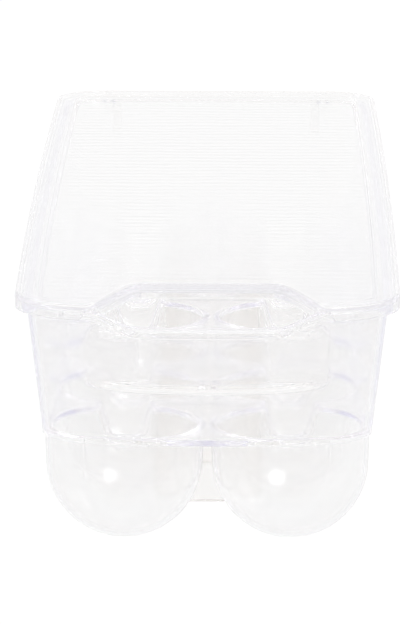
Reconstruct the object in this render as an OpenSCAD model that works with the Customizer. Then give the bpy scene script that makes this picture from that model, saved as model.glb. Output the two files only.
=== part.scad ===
// Egg keeper with a flip lid: a clear moulded tray of egg cups in two columns, and a
// clear lid that snaps into ears on the tray's rear wall and swings up about them.
// Millimetres, +Z up, front towards -Y. The origin is the middle of the footprint, on
// the plane that the cups stand on. Each moulding is split into face-to-face solids.

/* [Egg cups] */
// Rows of cups, front to rear
cup_rows = 7; // [2:1:10]
// Distance between rows
row_pitch = 48.65; // [47.6:0.05:56]
// Distance between the two columns
col_pitch = 48.2; // [47.6:0.1:56]
// Outer radius of a cup's round bottom
cup_ball_r = 22.8; // [20:0.1:23]
// Growth of a cup's radius from its round bottom up to the floor
cup_draft = 0.3; // [0.1:0.1:0.5]
// Height of the floor's underside over the surface that the cups stand on
cup_depth = 31.9; // [27:0.1:38]
// Wall thickness of a cup
cup_wall = 1.6; // [1.2:0.1:2.2]
// How much of the round bottom is flattened into a foot
foot_flat = 0.3; // [0.1:0.05:0.8]
// Chamfer around a cup's mouth
mouth_chamfer = 0.9; // [0.3:0.1:1]

/* [Finger channels and webs] */
// Width of the channel between two cups of a column, at the floor
channel_w = 15; // [10:0.5:18]
// Radius of the channel's round bottom
channel_r = 5.5; // [4:0.1:6]
// Depth of the channel below the floor's top face
channel_deep = 11.2; // [9:0.1:12]
// Thickness of the web under the floor between two rows
web_t = 1.8; // [1:0.1:2]
// Width of that web
web_w = 30; // [12:0.5:34]
// Height of its lower edge over the standing surface
web_foot = 3.4; // [1:0.1:12]

/* [Tray walls] */
// Floor thickness
floor_t = 1.6; // [1.2:0.1:2.2]
// Wall thickness
wall_t = 1.8; // [1.2:0.1:2]
// Height of the rim over the floor's top face
wall_h = 38.6; // [34:0.1:60]
// Floor in front of the first cups, on the centre line
front_land = 1.6; // [1.5:0.1:6]
// Floor behind the last cups
rear_land = 1.2; // [0.4:0.1:6]
// Floor beside the cups
side_land = 0.5; // [0.4:0.1:6]
// How far the front wall leans out over its height
front_lean = 6.55; // [3:0.05:9]
// How far the rear wall leans out over its height
rear_lean = 6.4; // [3:0.1:9]
// How far each side wall leans out over its height
side_lean = 4.15; // [2:0.05:8]
// Corner radius in plan
corner_r = 12; // [8:0.5:14]
// Radius of the forward bow of the front
bow_r = 165; // [140:5:400]
// Outward bulge of the long sides at mid length
side_bulge = 1.2; // [0:0.1:2]

/* [Rim, dip and grip] */
// Thickness of the rim flange
flange_t = 2.4; // [1.6:0.1:3]
// Depth of the dip in the front rim
dip = 5.2; // [3:0.1:7]
// Half width of the dip where it is full
dip_full = 18; // [10:0.5:22]
// Half width of the dip where it starts
dip_start = 35; // [28:0.5:38]
// Half width of the grip recess in the front wall
grip_w = 34; // [24:0.5:36]
// Height of the grip recess on the centre line
grip_h = 15.4; // [8:0.1:18]
// Depth of the grip recess
grip_deep = 4; // [2:0.1:5]
// Radius of its lower corners
grip_r = 6; // [3:0.5:7]
// Rise of the recess's edges from the centre line to its ends
grip_smile = 1.2; // [0:0.1:2]

/* [Lid] */
// Thickness of the lid
lid_t = 1.8; // [1.4:0.1:2.4]
// Height of the skirt, from its lower edge to the lid's top
skirt_h = 4.5; // [3.5:0.1:6]
// Thickness of the skirt
skirt_t = 1.6; // [1.2:0.1:2.2]
// How far the lid reaches past the tray's walls
lid_overhang = 3.15; // [3:0.05:5]
// Gap between the closed lid and the rim
lid_gap = 0.3; // [0.2:0.05:0.6]
// Width of the raised border around the panel
border_w = 7.8; // [7.4:0.1:14]
// Drop from the border to the panel
panel_drop = 1.2; // [0.6:0.1:1.4]
// Thickness of the step between border and panel
step_t = 1.2; // [0.8:0.1:1.6]
// Half width of the finger notch at its inner end
notch_in = 18.5; // [12:0.5:24]
// Half width of the finger notch at the front edge
notch_out = 35; // [28:0.5:38]
// Depth of the finger notch from the front edge
notch_deep = 34.2; // [20:0.1:40]
// Width of the raised border around the notch
notch_border = 3; // [2:0.1:6]

/* [Hinge] */
// Radius of a hinge pin
pin_r = 2; // [1.5:0.05:2.2]
// Radial clearance of a pin in its ear
pin_clear = 0.05; // [0.02:0.01:0.1]
// Radius of an ear around its bore
ear_r = 3.2; // [3:0.1:3.6]
// Thickness of an ear
ear_t = 3; // [2:0.1:5]
// Depth of an ear's foot on the rear wall below the hinge axis
ear_foot = 6.4; // [5:0.1:10]
// Distance of an ear's inner face from the centre line
ear_x = 33; // [20:0.5:34]
// Radius of a lid arm around its pin
arm_r = 3; // [2.8:0.1:3.2]
// Thickness of a lid arm
arm_t = 2.4; // [1.6:0.1:3]
// Gap between an arm's front and the rear wall's top
arm_gap = 0.4; // [0.3:0.1:2]
// Side gap between an arm and its ear
arm_play = 0.3; // [0.2:0.1:0.6]
// Depth of the hinge axis below the rim
axis_drop = 6.2; // [5.9:0.1:9]
// Angle at which an arm's heel meets the rear wall
open_angle = 108; // [95:1:120]

/* [Hidden] */
$fn = 96;

// Places that follow from the sizes, from the ground up
cup_top_r = cup_ball_r + cup_draft;
ball_z = cup_ball_r - foot_flat;
floor_z = cup_depth + floor_t;
rim_z = floor_z + wall_h;
lid_under = rim_z + lid_gap;
lid_top = lid_under + lid_t;
skirt_z = lid_top - skirt_h;
panel_top = lid_top - panel_drop;
panel_under = panel_top - lid_t;
axis_z = rim_z - axis_drop;

// Half widths
floor_hw = col_pitch / 2 + cup_top_r + side_land;
top_hw = floor_hw + side_lean;
lid_hw = top_hw + lid_overhang;
flange_out = lid_overhang - skirt_t - lid_gap;
rear_flange_out = arm_gap + arm_r - lid_gap;

// Places along Y, counted from the first row and then centred on the footprint
front_floor_raw = -cup_top_r - front_land;
front_top_raw = front_floor_raw - front_lean;
rear_floor_raw = (cup_rows - 1) * row_pitch + cup_top_r + rear_land;
rear_top_raw = rear_floor_raw + rear_lean;
axis_raw = rear_top_raw + arm_gap + arm_r;
lid_front_raw = front_top_raw - lid_overhang;
lid_rear_raw = axis_raw + arm_r + skirt_t;
notch_base_raw = lid_front_raw + notch_out * notch_out / (2 * bow_r);
front_most_raw = min(front_top_raw - flange_out, notch_base_raw);
centre_raw = (front_most_raw + lid_rear_raw) / 2;
front_floor = front_floor_raw - centre_raw;
front_top = front_top_raw - centre_raw;
rear_floor = rear_floor_raw - centre_raw;
rear_top = rear_top_raw - centre_raw;
axis_y = axis_raw - centre_raw;
lid_front = lid_front_raw - centre_raw;
lid_rear = lid_rear_raw - centre_raw;

// The panel's rear end stays clear of the rim while the lid swings
panel_swing = 1.2;
panel_rear = rear_top - wall_t - panel_swing - step_t;

// An arm's heel reaches the rear wall at the opening angle
heel_y = arm_r;
heel_gap = 0.3;
heel_reach = axis_y - rear_face(axis_z - ear_r) - heel_gap;
heel_z = (heel_y * cos(open_angle) + heel_reach) / sin(open_angle);

// Side gap of an arm in its slot, and play of the notch's skirt behind the front wall
slot_gap = 0.3;
rim_play = 0.6;
// The front and rear walls end a little beyond their round corners
corner_room = 2;
wall_cut = corner_r + corner_room;
// Larger than the whole part, overlap of a cut and thickness of a hull's ends
big = 2 * (lid_rear - lid_front);
cut = 0.5;
skin = 0.01;

tray_colour = [0.90, 0.91, 0.95];
cup_colour = [0.86, 0.87, 0.92];
lid_colour = [0.95, 0.95, 0.98];
pin_colour = [0.80, 0.82, 0.90];

function cup_name(side, row) = str("egg_cup_", side < 0 ? "left_" : "right_", row);

function row_y(row) = (row - 1) * row_pitch - centre_raw;
function smooth(t) = t <= 0 ? 0 : t >= 1 ? 1 : t * t * (3 - 2 * t);
function arc(x, y, r, from, to, steps) =
    [for (i = [0:steps]) let (a = from + (to - from) * i / steps) [x + r * cos(a), y + r * sin(a)]];

// Rear wall's outer face at a height: a plane that leans out from the floor to the rim
function rear_face(z) = rear_floor + rear_lean * (z - floor_z) / wall_h;

// Plan outline: a round-cornered rectangle whose front bows forward as a parabola and
// whose long sides bulge as a parabola
corner_steps = 6;
side_steps = 8;
function plain_outline(hw, front, rear, r) = concat(
    arc(hw - r, rear - r, r, 0, 90, corner_steps),
    arc(r - hw, rear - r, r, 90, 180, corner_steps),
    [for (i = [1:side_steps - 1]) [-hw, rear - r + (front - rear + 2 * r) * i / side_steps]],
    arc(r - hw, front + r, r, 180, 270, corner_steps),
    [for (i = [1:side_steps - 1]) [(hw - r) * (2 * i / side_steps - 1), front]],
    arc(hw - r, front + r, r, 270, 360, corner_steps),
    [for (i = [1:side_steps - 1]) [hw, front + r + (rear - front - 2 * r) * i / side_steps]]);
function outline(hw, front, rear, r, bulge) =
    let (mid = (front + rear) / 2, half = (rear - front) / 2)
    [for (p = plain_outline(hw, front, rear, r))
        let (along = (p[1] - mid) / half)
        [p[0] * (1 + bulge * (1 - along * along) / hw),
         p[1] + p[0] * p[0] / (2 * bow_r) * max(0, -along)]];

function tray_outline(inset, low) = low
    ? outline(floor_hw - inset, front_floor + inset, rear_floor - inset, corner_r - inset, 0)
    : outline(top_hw - inset, front_top + inset, rear_top - inset, corner_r - inset, side_bulge);
function flange_outline() =
    outline(top_hw + flange_out, front_top - flange_out, rear_top + rear_flange_out,
            corner_r + flange_out, side_bulge);
function lid_outline(inset) =
    outline(lid_hw - inset, lid_front + inset, lid_rear - inset,
            corner_r + lid_overhang - inset, side_bulge);
function panel_outline(grow) =
    outline(lid_hw - border_w + grow, lid_front + border_w - grow, panel_rear + grow,
            corner_r + lid_overhang - border_w + grow, side_bulge);

// Solid between two plan outlines, from the floor's top face to the rim
module leaning_solid(inset, over) {
    hull() {
        translate([0, 0, floor_z - over]) linear_extrude(skin) polygon(tray_outline(inset, true));
        translate([0, 0, rim_z + over - skin]) linear_extrude(skin)
            polygon(tray_outline(inset, false));
    }
}

module tray_wall_ring() {
    difference() {
        union() {
            leaning_solid(0, 0);
            translate([0, 0, rim_z - flange_t]) linear_extrude(flange_t)
                polygon(flange_outline());
        }
        leaning_solid(wall_t, skin);
    }
}

// Box over the whole width between two places along Y
module y_slab(from, to) {
    translate([-big / 2, from, -big / 2]) cube([big, to - from, big]);
}
// Prism along Y whose outline is given as X and Z
module y_prism(points, from, to) {
    translate([0, to, 0]) rotate([90, 0, 0]) linear_extrude(to - from) polygon(points);
}

// Height of the front rim along X: level, with a smooth dip at the middle
dip_steps = 12;
function rim_at(x) = rim_z - dip * smooth((dip_start - abs(x)) / (dip_start - dip_full));
function rim_points(drop) = concat([[-big / 2, rim_z - drop]],
    [for (i = [-dip_steps:dip_steps]) let (x = dip_start * i / dip_steps) [x, rim_at(x) - drop]],
    [[big / 2, rim_z - drop]]);

// Outline of the grip recess in X and Z, right below the dipped flange
grip_top = rim_z - dip - flange_t;
grip_steps = 8;
function grip_rise(x) = grip_smile * (x / grip_w) * (x / grip_w);
function grip_points(grow) =
    let (w = grip_w + grow, r = grip_r + grow, low = grip_top - grip_h - grow, top = grip_top + grow)
    [for (p = concat(arc(r - w, low + r, r, 180, 270, grip_steps),
                     [for (i = [1:grip_steps - 1]) [(w - r) * (2 * i / grip_steps - 1), low]],
                     arc(w - r, low + r, r, 270, 360, grip_steps),
                     [for (i = [0:grip_steps]) [w * (1 - 2 * i / grip_steps), top]]))
        [p[0], p[1] + grip_rise(p[0])]];

module front_wall() {
    wall_end = front_top + wall_cut;
    color(tray_colour)
    intersection() {
        y_slab(-big, wall_end);
        difference() {
            union() {
                difference() {
                    leaning_solid(0, 0);
                    leaning_solid(wall_t, skin);
                }
                // Rim flange, following the dip
                intersection() {
                    difference() {
                        translate([0, 0, floor_z]) linear_extrude(wall_h)
                            polygon(flange_outline());
                        leaning_solid(wall_t, skin);
                    }
                    y_prism(concat(rim_points(0), [for (i = [len(rim_points(0)) - 1:-1:0])
                        rim_points(flange_t)[i]]), -big, big);
                }
                // Back and sides of the grip recess
                intersection() {
                    difference() {
                        leaning_solid(0, 0);
                        translate([0, grip_deep, 0]) leaning_solid(wall_t, skin);
                    }
                    y_prism(grip_points(wall_t), front_top - cut, wall_end);
                }
            }
            // Everything over the dipped rim
            y_prism(concat(rim_points(0), [[big / 2, rim_z + big], [-big / 2, rim_z + big]]), -big, big);
            // The recess itself
            difference() {
                y_prism(grip_points(0), front_top - wall_cut, wall_end);
                translate([0, grip_deep, 0]) leaning_solid(0, skin);
                y_slab(front_floor + grip_deep + wall_t, big);
            }
        }
    }
}

module rear_wall() {
    color(tray_colour)
    difference() {
        intersection() {
            tray_wall_ring();
            y_slab(rear_top - wall_cut, big);
        }
        // Slots in the flange, where the lid's arms pass
        for (side = [-1, 1])
            translate([side * (arm_x() + arm_t / 2) - arm_t / 2 - slot_gap, 0, 0])
                rotate([90, 0, 90]) linear_extrude(arm_t + 2 * slot_gap)
                    polygon([[rear_face(rim_z - flange_t), rim_z - flange_t - skin],
                             [rear_face(rim_z), rim_z + skin],
                             [lid_rear, rim_z + skin],
                             [lid_rear, rim_z - flange_t - skin]]);
    }
}

module side_wall(side) {
    color(tray_colour)
    intersection() {
        tray_wall_ring();
        y_slab(front_top + wall_cut, rear_top - wall_cut);
        translate([side < 0 ? -big : 0, -big / 2, 0]) cube(big);
    }
}

// One egg cup with its piece of the tray's floor
module cup_outside() {
    intersection() {
        union() {
            translate([0, 0, ball_z]) sphere(cup_ball_r);
            translate([0, 0, ball_z])
                cylinder(h = cup_depth - ball_z, r1 = cup_ball_r, r2 = cup_top_r);
        }
        translate([-big / 2, -big / 2, 0]) cube([big, big, cup_depth]);
    }
}
module cup_inside() {
    inner_ball = cup_ball_r - cup_wall;
    inner_top = cup_top_r - cup_wall;
    translate([0, 0, ball_z]) {
        sphere(inner_ball);
        cylinder(h = floor_z - ball_z + cut, r1 = inner_ball, r2 = inner_top);
    }
    translate([0, 0, floor_z - mouth_chamfer])
        cylinder(h = mouth_chamfer + skin, r1 = inner_top, r2 = inner_top + mouth_chamfer);
}

// Channel between two cups of a column: a U in X and Z, open at the top
channel_steps = 12;
function channel_points(grow, top) =
    let (low = floor_z - channel_deep + channel_r)
    concat(arc(0, low, channel_r + grow, 180, 360, channel_steps),
           [[channel_w / 2 + grow, floor_z], [channel_w / 2 + grow, top],
            [-channel_w / 2 - grow, top], [-channel_w / 2 - grow, floor_z]]);
module channel(x, row, grow, top) {
    middle = row_y(row) + row_pitch / 2;
    translate([x, 0, 0])
        y_prism(channel_points(grow, top), middle - row_pitch / 2, middle + row_pitch / 2);
}

module egg_cup(side, row) {
    x = side * col_pitch / 2;
    y = row_y(row);
    front = row == 1 ? -big : y - row_pitch / 2;
    rear = row == cup_rows ? big : y + row_pitch / 2;
    color(cup_colour)
    intersection() {
        y_slab(front, rear);
        translate([side < 0 ? -big : 0, -big / 2, 0]) cube(big);
        difference() {
            union() {
                translate([0, 0, cup_depth]) linear_extrude(floor_t) polygon(tray_outline(0, true));
                translate([x, y, 0]) cup_outside();
                if (row > 1) channel(x, row - 1, cup_wall, floor_z);
                if (row < cup_rows) channel(x, row, cup_wall, floor_z);
            }
            translate([x, y, 0]) cup_inside();
            if (row > 1) channel(x, row - 1, 0, floor_z + cut);
            if (row < cup_rows) channel(x, row, 0, floor_z + cut);
        }
    }
}

// Stiffening web under the floor, between two rows
module row_web(row) {
    y = row_y(row) + row_pitch / 2;
    color(cup_colour)
    difference() {
        translate([-web_w / 2, y - web_t / 2, web_foot])
            cube([web_w, web_t, cup_depth - web_foot]);
        for (side = [-1, 1]) channel(side * col_pitch / 2, row, cup_wall, floor_z);
    }
}

function arm_x() = ear_x + ear_t + arm_play;

// Ear on the rear wall, with the bore for a hinge pin
ear_angle = 60;
ear_steps = 10;
module hinge_ear(side) {
    foot = axis_z - ear_foot;
    ear_top = rim_z - flange_t;
    color(tray_colour)
    difference() {
        translate([side * (ear_x + ear_t / 2) - ear_t / 2, 0, 0])
            rotate([90, 0, 90]) linear_extrude(ear_t)
                polygon(concat([[rear_face(foot), foot]],
                               arc(axis_y, axis_z, ear_r, -ear_angle, ear_angle, ear_steps),
                               [[axis_y - lid_gap, ear_top], [rear_face(ear_top), ear_top]]));
        translate([side * (ear_x + ear_t / 2) - ear_t, axis_y, axis_z])
            rotate([0, 90, 0]) cylinder(h = 2 * ear_t, r = pin_r + pin_clear);
    }
}

// Finger notch in plan: flat at its inner end, with smooth flanks that run out
// into the front edge
notch_steps = 16;
notch_base = notch_base_raw - centre_raw;
function notch_edge(x, grow) =
    let (reach = lid_front + notch_deep - notch_base + grow)
    notch_base + reach * smooth((notch_out + grow - abs(x)) / (notch_out - notch_in));
module notch(grow, from, to) {
    w = notch_out + grow;
    translate([0, 0, from]) linear_extrude(to - from)
        polygon(concat([for (i = [-notch_steps:notch_steps])
                            let (x = w * i / notch_steps) [x, notch_edge(x, grow)]],
                       [[w, lid_front - cut], [-w, lid_front - cut]]));
}

// The lid's border, step and skirt, without the panel
module lid_border() {
    difference() {
        union() {
            translate([0, 0, lid_under]) linear_extrude(lid_t) polygon(lid_outline(0));
            translate([0, 0, skirt_z]) linear_extrude(skirt_h)
                difference() {
                    polygon(lid_outline(0));
                    polygon(lid_outline(skirt_t));
                }
            // Skirt around the notch, behind the tray's front wall
            intersection() {
                translate([0, 0, skirt_z]) linear_extrude(skirt_h)
                    polygon(tray_outline(wall_t + rim_play, false));
                notch(skirt_t, skirt_z, lid_top);
            }
            difference() {
                translate([0, 0, panel_under]) linear_extrude(lid_top - panel_under)
                    polygon(panel_outline(step_t));
                notch(notch_border - step_t, panel_under - cut, lid_under);
            }
        }
        difference() {
            translate([0, 0, skirt_z - cut]) linear_extrude(skirt_h + 2 * cut)
                polygon(panel_outline(0));
            notch(notch_border, skirt_z - 2 * cut, lid_top + 2 * cut);
        }
        notch(0, skirt_z - cut, lid_top + cut);
    }
}
module lid_panel() {
    color(lid_colour)
    difference() {
        translate([0, 0, panel_under]) linear_extrude(lid_t) polygon(panel_outline(0));
        notch(notch_border, panel_under - cut, panel_top + cut);
    }
}
front_border_end = lid_front + notch_deep + notch_border + corner_r;
rear_border_start = lid_rear - corner_r - lid_overhang - cut;
module lid_front_border() {
    color(lid_colour) intersection() { lid_border(); y_slab(-big, front_border_end); }
}
module lid_rear_border() {
    color(lid_colour) intersection() { lid_border(); y_slab(rear_border_start, big); }
}
module lid_side_border(side) {
    color(lid_colour)
    intersection() {
        lid_border();
        y_slab(front_border_end, rear_border_start);
        translate([side < 0 ? -big : 0, -big / 2, 0]) cube(big);
    }
}

// Arm under the lid's rear border, ending in a round eye with a stop heel
eye_steps = 8;
module lid_arm(side) {
    color(lid_colour)
    translate([side * (arm_x() + arm_t / 2) - arm_t / 2, 0, 0])
        rotate([90, 0, 90]) linear_extrude(arm_t)
            polygon(concat(arc(axis_y, axis_z, arm_r, 180, 270, eye_steps),
                           [[axis_y, axis_z - heel_z], [axis_y + heel_y, axis_z - heel_z],
                            [axis_y + heel_y, lid_under], [axis_y - arm_r, lid_under]]));
}
// Pin moulded on the arm's inner face, through the ear
module hinge_pin(side) {
    pin_l = ear_t + 2 * arm_play;
    color(pin_colour)
    translate([side * (arm_x() - pin_l / 2) - pin_l / 2, axis_y, axis_z])
        rotate([0, 90, 0]) cylinder(h = pin_l, r = pin_r);
}

front_wall();
rear_wall();
side_wall(-1);  // left_wall
side_wall(1);  // right_wall
hinge_ear(-1);  // left_hinge_ear
hinge_ear(1);  // right_hinge_ear
lid_panel();
lid_front_border();
lid_rear_border();
lid_side_border(-1);  // lid_left_border
lid_side_border(1);  // lid_right_border
lid_arm(-1);  // left_lid_arm
lid_arm(1);  // right_lid_arm
hinge_pin(-1);  // left_hinge_pin
hinge_pin(1);  // right_hinge_pin
for (row = [1:cup_rows]) for (side = [-1, 1])
    egg_cup(side, row);
for (row = [1:cup_rows - 1])
    row_web(row);
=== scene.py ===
"""Looks of a clear refrigerator egg keeper: two injection mouldings of crystal polystyrene.

Each moulding is one closed shell, worked out as grids of points in millimetres from the same sizes
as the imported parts, so that light is bent only where the real plastic has a surface.
"""

import math
from types import SimpleNamespace

import bmesh
import bpy
import numpy as np
from mathutils import Matrix, Vector


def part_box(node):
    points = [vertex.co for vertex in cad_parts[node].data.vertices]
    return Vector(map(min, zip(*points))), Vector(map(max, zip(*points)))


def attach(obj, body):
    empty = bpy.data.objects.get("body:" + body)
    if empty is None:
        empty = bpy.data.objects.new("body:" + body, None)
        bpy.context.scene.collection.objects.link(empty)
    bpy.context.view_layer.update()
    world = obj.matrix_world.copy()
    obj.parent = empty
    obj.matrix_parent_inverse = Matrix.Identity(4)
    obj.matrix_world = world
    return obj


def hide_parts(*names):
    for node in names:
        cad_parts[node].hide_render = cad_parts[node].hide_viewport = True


bl_info = {
    "name": "Clear egg keeper",
    "version": (1, 0, 0),
    "blender": (4, 5, 0),
    "location": "View3D > Sidebar > Egg Keeper",
    "description": "Clear moulded egg tray and flip lid on a white studio floor",
    "category": "Object",
}

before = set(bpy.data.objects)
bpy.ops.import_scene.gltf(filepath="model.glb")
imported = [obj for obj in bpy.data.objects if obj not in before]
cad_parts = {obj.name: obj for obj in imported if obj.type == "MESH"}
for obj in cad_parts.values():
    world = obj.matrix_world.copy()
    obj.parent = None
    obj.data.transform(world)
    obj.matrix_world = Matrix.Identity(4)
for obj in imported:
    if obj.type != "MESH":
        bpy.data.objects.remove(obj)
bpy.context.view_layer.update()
MM = 0.001
WELD = 2e-6


def box_mm(node):
    """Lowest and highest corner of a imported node, in millimetres."""
    low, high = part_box(node)
    return np.array(low) / MM, np.array(high) / MM


def length(name, text, millimetres):
    """A length property whose default is given in millimetres."""
    return bpy.props.FloatProperty(
        name=name, description=text, default=millimetres * MM, unit="LENGTH", precision=5
    )


def hex_to_linear(text):
    """Linear red, green and blue of an sRGB hex colour."""
    channels = np.array([int(text[i : i + 2], 16) for i in (1, 3, 5)]) / 255
    return tuple(np.where(channels <= 0.04045, channels / 12.92, ((channels + 0.055) / 1.055) ** 2.4))


def colour(name, text, hex_text):
    """A colour property whose default is given as an sRGB hex value."""
    return bpy.props.FloatVectorProperty(
        name=name, description=text, default=hex_to_linear(hex_text), subtype="COLOR", min=0, max=1
    )


class KeeperTray(bpy.types.PropertyGroup):
    """Sizes of the tray moulding."""

    cup_ball_r: length("Cup radius", "Outer radius of a cup's round bottom", 22.8)
    cup_draft: length("Cup draft", "Growth of a cup's radius up to the floor", 0.3)
    cup_wall: length("Cup wall", "Wall thickness of a cup", 1.6)
    foot_flat: length("Foot flat", "How much of the round bottom is flattened", 0.3)
    mouth_r: length("Mouth rounding", "Rounding of a cup's mouth", 0.9)
    under_r: length("Under fillet", "Fillet between a cup and the floor's underside", 0.6)
    floor_t: length("Floor", "Floor thickness", 1.6)
    wall_t: length("Wall", "Wall thickness", 1.8)
    side_land: length("Side land", "Floor beside the cups", 0.5)
    front_lean: length("Front lean", "How far the front wall leans out", 6.55)
    rear_lean: length("Rear lean", "How far the rear wall leans out", 6.4)
    side_lean: length("Side lean", "How far each side wall leans out", 4.15)
    corner_r: length("Corner radius", "Corner radius in plan", 12)
    bow_r: length("Front bow", "Radius of the forward bow of the front", 165)
    side_bulge: length("Side bulge", "Outward bulge of the long sides", 1.2)
    foot_r: length("Foot fillet", "Fillet between floor and walls", 0.3)
    edge_r: length("Lower edge", "Rounding of the floor's outer edge", 0.4)
    channel_w: length("Channel width", "Width of a finger channel at the floor", 15)
    channel_r: length("Channel radius", "Radius of the channel's round bottom", 5.5)
    channel_deep: length("Channel depth", "Depth of a finger channel", 11.2)
    web_corner_r: length("Web corners", "Radius of a web's lower corners", 3)
    web_edge_r: length("Web edges", "Rounding of a web's edges", 0.4)


class KeeperRim(bpy.types.PropertyGroup):
    """Sizes of the tray's rim, dip and grip recess."""

    flange_t: length("Flange", "Thickness of the rim flange", 2.4)
    flange_out: length("Flange reach", "How far the flange stands out at the front and sides", 1.25)
    rear_flange_out: length("Rear reach", "How far the flange stands out at the rear", 3.1)
    round_r: length("Rim rounding", "Rounding of the rim's edges", 0.6)
    dip: length("Dip", "Depth of the dip in the front rim", 5.2)
    dip_full: length("Full dip", "Half width of the dip where it is full", 18)
    dip_start: length("Dip start", "Half width of the dip where it starts", 35)
    grip_w: length("Grip half width", "Half width of the grip recess", 34)
    grip_h: length("Grip height", "Height of the grip recess", 15.4)
    grip_deep: length("Grip depth", "Depth of the grip recess", 2.4)
    grip_fade: length("Grip fade", "Length over which the recess runs out at each end", 16)
    grip_smile: length("Grip rise", "Rise of the recess's edges towards its ends", 1.2)
    grip_edge: length("Grip edge", "Width of the turn into the recess", 1.3)


class KeeperLid(bpy.types.PropertyGroup):
    """Sizes of the lid moulding."""

    lid_t: length("Lid", "Thickness of the lid", 1.8)
    skirt_h: length("Skirt height", "From the skirt's lower edge to the lid's top", 4.5)
    skirt_t: length("Skirt", "Thickness of the skirt", 1.6)
    overhang: length("Overhang", "How far the lid reaches past the tray's walls", 3.15)
    border_w: length("Border", "Width of the raised border", 7.8)
    panel_drop: length("Panel drop", "Drop from the border to the panel", 1.2)
    step_t: length("Step", "Thickness of the step", 1.2)
    step_run: length("Step run", "Run of the sloped step in plan", 1.5)
    edge_r: length("Lid edge", "Rounding of the lid's upper edge", 0.8)
    skirt_r: length("Skirt rounding", "Rounding of the skirt's lower edge", 0.4)
    notch_in: length("Notch inside", "Half width of the notch at its inner end", 18.5)
    notch_out: length("Notch mouth", "Half width of the notch at the front edge", 35)
    notch_deep: length("Notch depth", "Depth of the finger notch", 34.2)
    notch_border: length("Notch border", "Width of the border around the notch", 3)
    pin_edge_r: length("Pin edge", "Rounding of a hinge pin's ends", 0.3)


class KeeperLook(bpy.types.PropertyGroup):
    """Colours and finish."""

    tray_tint: colour("Tray", "Tint of the light that the tray's surface passes", "#FDFDFD")
    web_tint: colour("Webs", "Tint of the light that a web passes", "#FCFBFA")
    lid_tint: colour("Lid", "Tint of the light that the lid's surface passes", "#FCFCFC")
    tray_depth_tint: colour("Tray depth tint", "Colour that thick plastic of the tray turns to", "#D2D0F6")
    lid_depth_tint: colour("Lid depth tint", "Colour that thick plastic of the lid turns to", "#DEDEEC")
    tray_depth: bpy.props.FloatProperty(name="Tray depth", description="Strength of its tint", default=1.7)
    lid_depth: bpy.props.FloatProperty(name="Lid depth", description="Strength of its tint", default=1.0)
    ior: bpy.props.FloatProperty(name="IOR", description="Index of refraction", default=1.59)
    floor: colour("Floor", "Colour of the studio floor", "#FAFAFA")
    far_light: colour("Backdrop light", "Light from behind and above the object", "#FFFFFF")
    near_light: colour("Room light", "Light from the room on the camera's side", "#F2EBE4")


def in_mm(group):
    """The lengths of a property group as plain numbers in millimetres."""
    return SimpleNamespace(**{key: getattr(group, key) / MM for key in group.__annotations__})


def smooth(t):
    """0 below 0, 1 above 1, and 3 t^2 - 2 t^3 between."""
    t = np.clip(t, 0, 1)
    return t * t * (3 - 2 * t)


def mix(a, b, t):
    """a at t = 0, b at t = 1, on a straight line between."""
    return a + (b - a) * t


def quarter(steps):
    """Angles from 0 to 90 degrees, in radians."""
    return np.linspace(0, math.pi / 2, steps + 1)


# Sizes that both mouldings follow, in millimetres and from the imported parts
ROWS = sum(name.startswith("egg_cup_right_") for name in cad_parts)
CUP_LOW, CUP_HIGH = box_mm("egg_cup_right_2")
NEXT_LOW, NEXT_HIGH = box_mm("egg_cup_right_3")
WALL_LOW, WALL_HIGH = box_mm("right_wall")
LID_LOW, LID_HIGH = box_mm("lid_rear_border")
PITCH = NEXT_LOW[1] - CUP_LOW[1]
ROW_2 = (CUP_LOW[1] + CUP_HIGH[1]) / 2
FLOOR_Z = CUP_HIGH[2]
RIM_Z = WALL_HIGH[2]
LID_TOP = LID_HIGH[2]
LID_REAR = LID_HIGH[1]
FLOOR_HW = CUP_HIGH[0]
FLOOR_FRONT = box_mm("egg_cup_right_1")[0][1]
# Distance of a column of cups from the middle: half the pitch between the two columns
CUP_COLUMN = 24.1
# Clearance that keeps touching pieces from sharing a face
HAIR = 0.02


def outline(hw, front, rear, r, bulge=0.0):
    """A plan outline: a rectangle with round corners, of which the sides may bulge."""
    return SimpleNamespace(hw=hw, front=front, rear=rear, r=r, bulge=bulge)


def place(path, shape, bow_r):
    """Plan points of a path on an outline, in millimetres.

    A path holds, for each point, its share of the straight core's half width and half length and the
    direction in which the corner radius is added. The front then bows forward as a parabola, by
    x^2 / (2 bow_r), and the sides bulge as a parabola along Y."""
    middle, half = (shape.front + shape.rear) / 2, (shape.rear - shape.front) / 2
    x = path[:, 0] * (shape.hw - shape.r) + shape.r * path[:, 2]
    y = middle + path[:, 1] * (half - shape.r) + shape.r * path[:, 3]
    along = (y - middle) / half
    wide = x * (1 + shape.bulge * (1 - along**2) / shape.hw)
    return np.column_stack([wide, y + x**2 / (2 * bow_r) * np.maximum(0, -along)])


def corner(steps, start, end, front):
    """Path through part of a round corner, from the front or to the rear, between two angles."""
    a = np.radians(np.linspace(start, end, steps + 1))
    one = np.ones_like(a)
    if front:
        return np.column_stack([one, -one, np.sin(a), -np.cos(a)])
    return np.column_stack([one, one, np.cos(a), np.sin(a)])


def straight(share_x, share_y, nx, ny):
    """Path along a straight side, of which one share is an array and the other a number."""
    share_x, share_y = np.broadcast_arrays(np.asarray(share_x, float), np.asarray(share_y, float))
    return np.column_stack([share_x, share_y, np.full(share_x.shape, nx), np.full(share_x.shape, ny)])


def grid(rows):
    """Grid of points from rows of plan points and heights: (rows, columns, 3)."""
    return np.array(
        [np.column_stack([plan, np.broadcast_to(height, len(plan))]) for plan, height in rows]
    )


SECOND_FINISH = "second_finish"


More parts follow.
